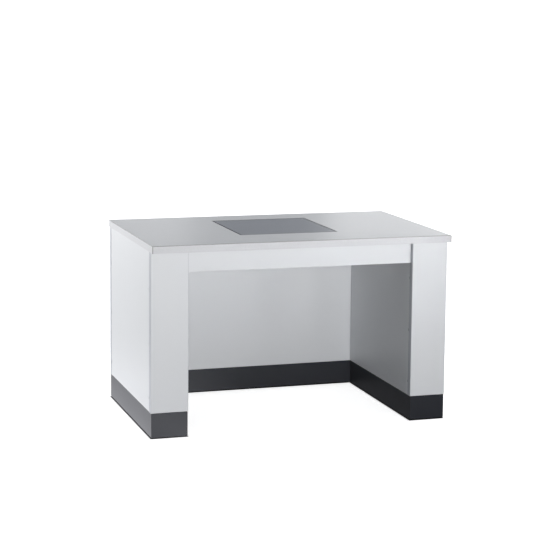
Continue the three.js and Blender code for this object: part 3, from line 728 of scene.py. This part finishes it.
# %% The thread tree
thread, given, result = open_shape("Threaded rod", {
    "Geometry": (GEOMETRY, None), "Place": (VECTOR, (0, 0, 0)), "Length": (FLOAT, 0.1),
    "Radius": (FLOAT, 0.007), "Depth": (FLOAT, 0.0008), "Pitch": (FLOAT, 0.002),
    "Finish": (MATERIAL, None)})
turns = calculate(thread, "DIVIDE", given["Length"], given["Pitch"])
middle = calculate(thread, "SUBTRACT", given["Radius"], given["Depth"])
span = calculate(thread, "SUBTRACT", given["Length"], calculate(thread, "MULTIPLY", given["Depth"], 2.0))
spiral = add(thread, "GeometryNodeCurveSpiral", {
    "Resolution": 18, "Rotations": turns, "Start Radius": middle, "End Radius": middle, "Height": span})
steady = add(thread, "GeometryNodeSetCurveNormal", {"Curve": spiral.outputs[0]}, mode="Z_UP")
section = add(thread, "GeometryNodeCurvePrimitiveCircle", {"Resolution": 4, "Radius": given["Depth"]})
ridge = add(thread, "GeometryNodeCurveToMesh", {
    "Curve": steady.outputs[0], "Profile Curve": section.outputs[0], "Fill Caps": True})
core = add(thread, "GeometryNodeMeshCylinder", {
    "Vertices": 24, "Radius": middle, "Depth": given["Length"]})
half = calculate(thread, "MULTIPLY", given["Length"], 0.5)
rod = add(thread, "GeometryNodeJoinGeometry")
thread.links.new(lift(thread, ridge.outputs[0], given["Depth"]), rod.inputs[0])
thread.links.new(lift(thread, core.outputs[0], half), rod.inputs[0])
stood = add(thread, "GeometryNodeTransform", {"Geometry": rod.outputs[0], "Translation": given["Place"]})
close_shape(thread, stood.outputs[0], given["Finish"], result)
print("thread tree:", len(thread.nodes), "nodes")

# %% [markdown]
# ## The casing's levelling feet
# A casing foot is a moulded glide with a hexagon, on a threaded rod. It rides on a body of its own,
# because it can be screwed out. Where it stands and how high its rod reaches come from the solid's own
# box, and its outline is written from the floor up.

# %% Casing feet
ENDS, SIDES = ("front", "rear"), ("left", "right")
CORNERS = [end + "_" + side for end in ENDS for side in SIDES]
GLIDE_HEX = 17  # millimetres across the flats
GLIDE_SEAT = 12 * MM  # where the rod starts in its glide


def middle_of(node):
    low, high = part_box(node)
    return (low + high) / 2


def casing_foot(corner):
    node = "casing_foot_" + corner
    x, y = middle_of(node).xy
    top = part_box(node)[1].z
    glide = lathe("glide_" + corner, [
        (0, 15.5), (0.6, 16.9), (2, 18), (6, 18), (8, 16.2), (10.5, 12.4), (11.4, hexagon(GLIDE_HEX)),
        (18.4, hexagon(GLIDE_HEX)), (19, hexagon(GLIDE_HEX, 8.9)), (19, 5.2)], (x, y), glide_plastic)
    rod = grow("glide_rod_" + corner, thread, {
        "Place": (x, y, GLIDE_SEAT), "Length": top - GLIDE_SEAT, "Radius": 5 * MM, "Depth": 0.6 * MM,
        "Pitch": 1.5 * MM, "Finish": zinc_steel})
    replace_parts(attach(glide, node), node)
    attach(rod, node)


print("corners with a foot:", CORNERS)

# %% [markdown]
# ## The stand's levelling feet
# A stand foot carries a quarter of the stone slab and its heavy frame, so it has a steel disc in a rubber
# sole, a hexagon for the spanner, a coarse spindle and a lock nut under the frame. Sole, disc and spindle
# move together when the foot is screwed out. The lock nut stays with the frame, on the table's own body.

# %% Stand feet, and the making of all feet
DISC_HEX, NUT_HEX = 22, 24  # millimetres across the flats
DISC_SEAT = 11 * MM  # where the spindle starts in its disc


def lock_nut(corner, node, centre):
    foot, crown = (end.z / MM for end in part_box(node))
    bevelled = hexagon(NUT_HEX, 11.9)
    return lathe("lock_nut_" + corner, [
        (foot, 7.8), (foot, bevelled), (foot + 1, hexagon(NUT_HEX)), (crown - 1, hexagon(NUT_HEX)),
        (crown, bevelled), (crown, 7.8), (crown - 0.8, 7.2), (foot + 0.8, 7.2)],
        centre, zinc_steel, bored=True)


def stand_foot(corner):
    sole_node, spindle_node = "stand_sole_" + corner, "stand_spindle_" + corner
    nut_node, body = "stand_lock_nut_" + corner, "stand_foot_" + corner
    x, y = middle_of(sole_node).xy
    low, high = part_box(spindle_node)
    foot = low.z / MM
    groove = [(2, 30), (3.2, 30), (3.6, 29.3), (4.2, 29.3), (4.6, 30)]
    sole = lathe("sole_" + corner, [
        (0, 27), (0.4, 28.9), *groove, (7, 30), (8.5, 29.4), (9, 28), (9, 26.4), (5, 26.3)],
        (x, y), rubber, sides=64)
    disc = lathe("disc_" + corner, [
        (foot, 25.4), (foot + 0.6, 26), (9.3, 26), (9.8, 24.6), (11.2, 12.9), (11.3, hexagon(DISC_HEX)),
        (18.4, hexagon(DISC_HEX)), (19.3, hexagon(DISC_HEX, 11.3)), (19.3, 7.2)], (x, y), zinc_steel)
    rod = grow("spindle_" + corner, thread, {
        "Place": (x, y, DISC_SEAT), "Length": high.z - DISC_SEAT, "Radius": 7 * MM, "Depth": 0.8 * MM,
        "Pitch": 2 * MM, "Finish": zinc_steel})
    nut = lock_nut(corner, nut_node, (x, y))
    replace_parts(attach(sole, body), sole_node)
    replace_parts(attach(disc, body), spindle_node)
    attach(rod, body)
    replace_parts(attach(nut, "table"), nut_node)


for corner in CORNERS:
    casing_foot(corner)
    stand_foot(corner)

# %% [markdown]
# ## Rubber buffers under the tray
# Four buffers stand between the beams and the tray: a steel plate, a waisted block of rubber and another
# plate. When the slab moves, the lower plate stays with the stand and the upper one goes with the tray,
# so the rubber between them must stretch or squeeze. Here each buffer is one turned piece, steel at its
# stud and plates and rubber between them.

# %% Buffers
STUD_LENGTH, STUD_RADIUS = 12, 4  # these sizes and the next are in millimetres
PLATE, PLATE_RADIUS = 2, 20
RUBBER_START, RUBBER_LENGTH = 2.2, 15.1  # the start is above the seat of the lower plate
RUBBER_RADIUS, WAIST_DEPTH = 19.6, 2.6
WAIST_STEPS = 12


def buffer(corner):
    node = "buffer_" + corner
    x, y = middle_of(node).xy
    foot, crown = (end.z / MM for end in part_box(node))
    seat = foot + STUD_LENGTH
    stud = [(foot, 3.2), (foot + 0.8, STUD_RADIUS), (seat, STUD_RADIUS)]
    lower_plate = [(seat, RUBBER_RADIUS), (seat + 0.3, PLATE_RADIUS), (seat + PLATE, PLATE_RADIUS)]
    shares = [step / WAIST_STEPS for step in range(WAIST_STEPS + 1)]
    waist = [(seat + RUBBER_START + share * RUBBER_LENGTH, RUBBER_RADIUS - WAIST_DEPTH * sin(pi * share))
             for share in shares]
    upper_plate = [(crown - PLATE, PLATE_RADIUS), (crown - 0.3, PLATE_RADIUS), (crown, RUBBER_RADIUS)]
    piece = lathe("rubber_" + node, stud + lower_plate + waist + upper_plate, (x, y), rubber)
    piece.data.materials.append(zinc_steel)
    start, end = (seat + PLATE) * MM, (crown - PLATE) * MM
    rubber_end = (seat + RUBBER_START + RUBBER_LENGTH) * MM
    for face in piece.data.polygons:
        if not start < face.center.z < rubber_end:
            face.material_index = 1
    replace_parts(piece, node)
    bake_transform(piece)


for corner in CORNERS:
    buffer(corner)
bottom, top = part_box("buffer_front_left")
print("buffer from", round(bottom.z, 4), "to", round(top.z, 4), "m")

# %% [markdown]
# ## Weld beads where the tubes meet
# Each frame is sawn from square tube and welded. A bead is a row of drops that froze one over the other
# while the torch went round the joint, so it is made that way: a tree walks round the rounded outline of
# a tube, sets a flat drop at every step, turns it to the direction of travel and lets its size waver a
# little. The same outline is then set at every joint, which are the points of a small mesh.

# %% The bead tree
DROP_SHAPE = (0.75, 1.0, 1.0)  # shorter along the seam than across it
bead, given, result = open_shape("Weld bead", {
    "Joints": (GEOMETRY, None), "Width": (FLOAT, 0.05), "Height": (FLOAT, 0.05),
    "Corner": (FLOAT, 0.005), "Step": (FLOAT, 0.0022), "Drop": (FLOAT, 0.0018), "Waver": (FLOAT, 0.15),
    "Seed": (COUNT, 1), "Finish": (MATERIAL, None)})
square = add(bead, "GeometryNodeCurvePrimitiveQuadrilateral", {
    "Width": given["Width"], "Height": given["Height"]})
rounded = add(bead, "GeometryNodeFilletCurve", {
    "Curve": square.outputs[0], "Count": 4, "Radius": given["Corner"]}, mode="POLY")
steps = add(bead, "GeometryNodeResampleCurve", {
    "Curve": rounded.outputs[0], "Length": given["Step"]}, mode="LENGTH")
travel = add(bead, "FunctionNodeAlignRotationToVector", {
    "Vector": add(bead, "GeometryNodeInputTangent").outputs[0]}, axis="X")
size = add(bead, "FunctionNodeRandomValue", {
    2: calculate(bead, "SUBTRACT", 1.0, given["Waver"]), 3: calculate(bead, "ADD", 1.0, given["Waver"]),
    "Seed": given["Seed"]}, data_type="FLOAT").outputs[1]
flat = add(bead, "ShaderNodeVectorMath", {0: DROP_SHAPE, "Scale": size}, operation="SCALE")
blob = add(bead, "GeometryNodeMeshIcoSphere", {"Radius": given["Drop"], "Subdivisions": 1})
row = add(bead, "GeometryNodeInstanceOnPoints", {
    "Points": steps.outputs[0], "Instance": blob.outputs[0], "Rotation": travel.outputs[0],
    "Scale": flat.outputs[0]})
stood = add(bead, "GeometryNodeTransform", {
    "Geometry": add(bead, "GeometryNodeRealizeInstances", {0: row.outputs[0]}).outputs[0],
    "Rotation": (pi / 2, 0, 0)})
everywhere = add(bead, "GeometryNodeInstanceOnPoints", {
    "Points": given["Joints"], "Instance": stood.outputs[0]})
close_shape(bead, everywhere.outputs[0], given["Finish"], result)
print("bead tree:", len(bead.nodes), "nodes")

# %% [markdown]
# ## Where the beads go
# A joint lies where a rail meets a post, and the frames' boxes and the sizes of their tubes say where
# that is. The stand's heavy tubes keep their whole beads. On the casing's thin frames the fitter grinds
# the bead off the flanks, because the panels lie close there, so its outline is narrower than the tube.

# %% The beads of all frames
def points_mesh(name, points):
    mesh = bpy.data.meshes.new(name)
    mesh.from_pydata(points, [], [])
    return mesh


def bead_joints(kind, tube, heights):
    """A joint lies where a rail meets the inner face of a post, in both frames of one kind."""
    joints = []
    for side in SIDES:
        low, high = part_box(f"{kind}_frame_{side}")
        x = (low.x + high.x) / 2
        joints += [(x, y, z) for y in (low.y + tube, high.y - tube) for z in heights(low.z, high.z)]
    return joints


STAND_TUBE, CASING_TUBE = 50 * MM, 25 * MM
STAND_RAIL, CASING_RAIL = 65 * MM, 27.5 * MM  # from the foot of a post to the middle of the lower rail
GROUND_OFF = 3 * MM  # of the bead's width, half on each flank
stand_joints = bead_joints("stand", STAND_TUBE, lambda low, high: (low + STAND_RAIL, high - STAND_TUBE / 2))
casing_joints = bead_joints("casing", CASING_TUBE, lambda low, high: (low + CASING_RAIL,))
stand_beads = grow("stand_weld_beads", bead, {
    "Width": STAND_TUBE, "Height": STAND_TUBE, "Corner": 5 * MM, "Step": 2.2 * MM, "Drop": 2 * MM,
    "Waver": 0.14, "Seed": 4, "Finish": frame_coat}, points_mesh("stand_joints", stand_joints))
casing_beads = grow("casing_weld_beads", bead, {
    "Width": CASING_TUBE - GROUND_OFF, "Height": CASING_TUBE, "Corner": 2 * MM, "Step": 1.6 * MM,
    "Drop": 1.4 * MM, "Waver": 0.14, "Seed": 9, "Finish": frame_coat},
    points_mesh("casing_joints", casing_joints))
for beads in (stand_beads, casing_beads):
    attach(beads, "table")
print("joints:", len(stand_joints), "+", len(casing_joints), "faces of beads:",
      len(stand_beads.data.polygons), "+", len(casing_beads.data.polygons))

# %% [markdown]
# ## Screws and bolts, seen from below
# Whoever crawls under the table sees how it holds together. The casing's rails are drawn up against the
# worktop by button-head screws with a hexagon socket, and each beam of the stand is bolted to the frames
# by hexagon bolts with washers. All are one shape with other numbers: a washer, a head with as many
# corners as needed, and a socket cut out of it. So one tree makes both, and sets them head down at given
# points.

# %% The fastener tree
fastener, given, result = open_shape("Fastener", {
    "Places": (GEOMETRY, None), "Corners": (COUNT, 24), "Foot radius": (FLOAT, 0.005),
    "Crown radius": (FLOAT, 0.0035), "Head": (FLOAT, 0.003), "Washer radius": (FLOAT, 0.006),
    "Washer": (FLOAT, 0.001), "Socket radius": (FLOAT, 0.002), "Socket depth": (FLOAT, 0.002),
    "Finish": (MATERIAL, None)})
washer = add(fastener, "GeometryNodeMeshCylinder", {
    "Vertices": 28, "Radius": given["Washer radius"], "Depth": given["Washer"]}).outputs[0]
washer = lift(fastener, washer, calculate(fastener, "MULTIPLY", given["Washer"], 0.5))
head = add(fastener, "GeometryNodeMeshCone", {
    "Vertices": given["Corners"], "Radius Bottom": given["Foot radius"],
    "Radius Top": given["Crown radius"], "Depth": given["Head"]}).outputs[0]
socket = add(fastener, "GeometryNodeMeshCylinder", {
    "Vertices": 6, "Radius": given["Socket radius"],
    "Depth": calculate(fastener, "MULTIPLY", given["Socket depth"], 2.0)}).outputs[0]
bored = add(fastener, "GeometryNodeMeshBoolean", {0: head, 1: lift(fastener, socket, given["Head"])},
            operation="DIFFERENCE").outputs[0]
both = add(fastener, "GeometryNodeJoinGeometry")
fastener.links.new(washer, both.inputs[0])
fastener.links.new(lift(fastener, bored, given["Washer"]), both.inputs[0])
hung = add(fastener, "GeometryNodeTransform", {"Geometry": both.outputs[0], "Rotation": (pi, 0, 0)})
spread = add(fastener, "GeometryNodeInstanceOnPoints", {
    "Points": given["Places"], "Instance": hung.outputs[0]})
close_shape(fastener, spread.outputs[0], given["Finish"], result)
print("fastener tree:", len(fastener.nodes), "nodes")

# %% [markdown]
# ## Where the screws and bolts go
# Screws sit at nearly even distances along each rail under the worktop, and each end of a beam has two
# bolts through the frame's top tube. The undersides of the rails and tubes give their height.

# %% The places of screws and bolts
RAIL_SHARES = (-0.76, -0.46, -0.15, 0.15, 0.46, 0.76)  # of half a long rail, from its middle
TOP_RAIL_SHARES = (0.12, 0.5, 0.88)  # of a leg's top rail, from its front
screws = []
for end in ENDS:
    low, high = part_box("casing_rail_" + end)
    screws += [(share * high.x, (low.y + high.y) / 2, low.z) for share in RAIL_SHARES]
for side in SIDES:
    low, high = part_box("casing_top_rail_" + side)
    x, length = (low.x + high.x) / 2, high.y - low.y
    screws += [(x, low.y + share * length, low.z) for share in TOP_RAIL_SHARES]

BOLT_PITCH = 30 * MM
bolts = []
for side in SIDES:
    low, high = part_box("stand_frame_" + side)
    x, z = (low.x + high.x) / 2, high.z - STAND_TUBE
    for end in ENDS:
        beam = middle_of("stand_beam_" + end).y
        bolts += [(x, beam + step * BOLT_PITCH / 2, z) for step in (-1, 1)]
print("screws:", len(screws), "bolts:", len(bolts))

# %% [markdown]
# ## Two sizes of one fastener
# A button head is a low cone on a round washer, and its socket takes a four-millimetre key. A bolt's head
# has six corners, hardly any cone, and only a shallow mark in its middle. Cones and corners have to look
# crisp, so edges of more than thirty degrees are marked sharp again.

# %% Screws and bolts
worktop_screws = grow("worktop_screws", fastener, {
    "Corners": 24, "Foot radius": 5.2 * MM, "Crown radius": 3.6 * MM, "Head": 2.8 * MM,
    "Washer radius": 7 * MM, "Washer": 1 * MM, "Socket radius": 2.3 * MM, "Socket depth": 1.8 * MM,
    "Finish": zinc_steel}, points_mesh("screw_places", screws))
beam_bolts = grow("beam_bolts", fastener, {
    "Corners": 6, "Foot radius": 9.8 * MM, "Crown radius": 9.4 * MM, "Head": 6.4 * MM,
    "Washer radius": 10.5 * MM, "Washer": 2 * MM, "Socket radius": 3.5 * MM, "Socket depth": 0.4 * MM,
    "Finish": zinc_steel}, points_mesh("bolt_places", bolts))
SHARP_FROM = 30  # degrees
for pieces in (worktop_screws, beam_bolts):
    pieces.data.set_sharp_from_angle(angle=radians(SHARP_FROM))
    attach(pieces, "table")
print("faces of all screws", len(worktop_screws.data.polygons), "and bolts",
      len(beam_bolts.data.polygons))
